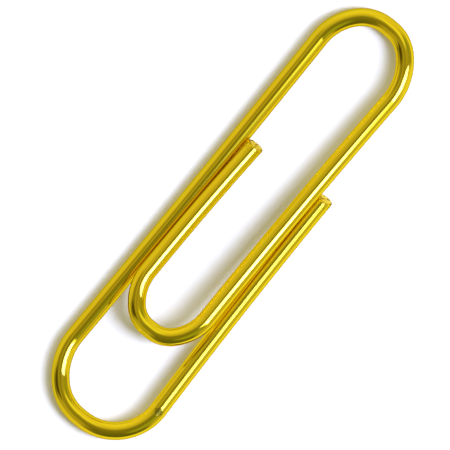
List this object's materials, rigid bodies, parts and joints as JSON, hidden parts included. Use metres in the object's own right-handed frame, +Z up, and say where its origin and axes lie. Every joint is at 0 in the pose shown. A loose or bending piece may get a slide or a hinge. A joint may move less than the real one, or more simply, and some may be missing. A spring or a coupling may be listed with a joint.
{
  "type": "paper clip",
  "caption": "Gold-toned round-wire paper clip: an open outer loop with a sprung inner tongue lying over it, which lifts to grip sheets of paper.",
  "frame": {"origin": "on the table, under the middle of the clip's bounding box", "axes": "+X across the clip to the side of the free outer leg, +Y along the clip to the top bend where the tongue starts, +Z up from the table"},
  "size_m": [0.007, 0.028, 0.0023],
  "materials": {
    "gold_wire": "bright brass-toned plating on smooth drawn steel wire"
  },
  "bodies": {
    "spine": {"outer_bend_spine_half": "gold_wire", "long_leg": "gold_wire", "top_bend_spine_half": "gold_wire"},
    "tongue": {"top_bend_tongue_half": "gold_wire", "inner_leg": "gold_wire", "inner_bend_tongue_half": "gold_wire"},
    "tip": {"inner_bend_tip_half": "gold_wire", "tip_leg": "gold_wire"},
    "outer_arm": {"outer_bend_free_half": "gold_wire", "outer_leg": "gold_wire"}
  },
  "joints": [
    {"name": "tongue_lift", "type": "hinge", "parent": "spine", "child": "tongue", "pos_m": [-0.00046, 0.0135, 0.00071], "axis": [-0.9966, 0, -0.0825], "range_deg": [0, 8], "stiffness_Nm_per_rad": 0.53},
    {"name": "tip_lift", "type": "hinge", "parent": "tongue", "child": "tip", "pos_m": [-0.00014, -0.00739, 0.0017], "axis": [0.9966, 0, 0.0825], "range_deg": [0, 4], "stiffness_Nm_per_rad": 1.06},
    {"name": "outer_leg_press", "type": "hinge", "parent": "spine", "child": "outer_arm", "pos_m": [0, -0.0135, 0.00075], "axis": [-0.9966, 0, -0.0825], "range_deg": [0, 6], "stiffness_Nm_per_rad": 0.71}
  ]
}
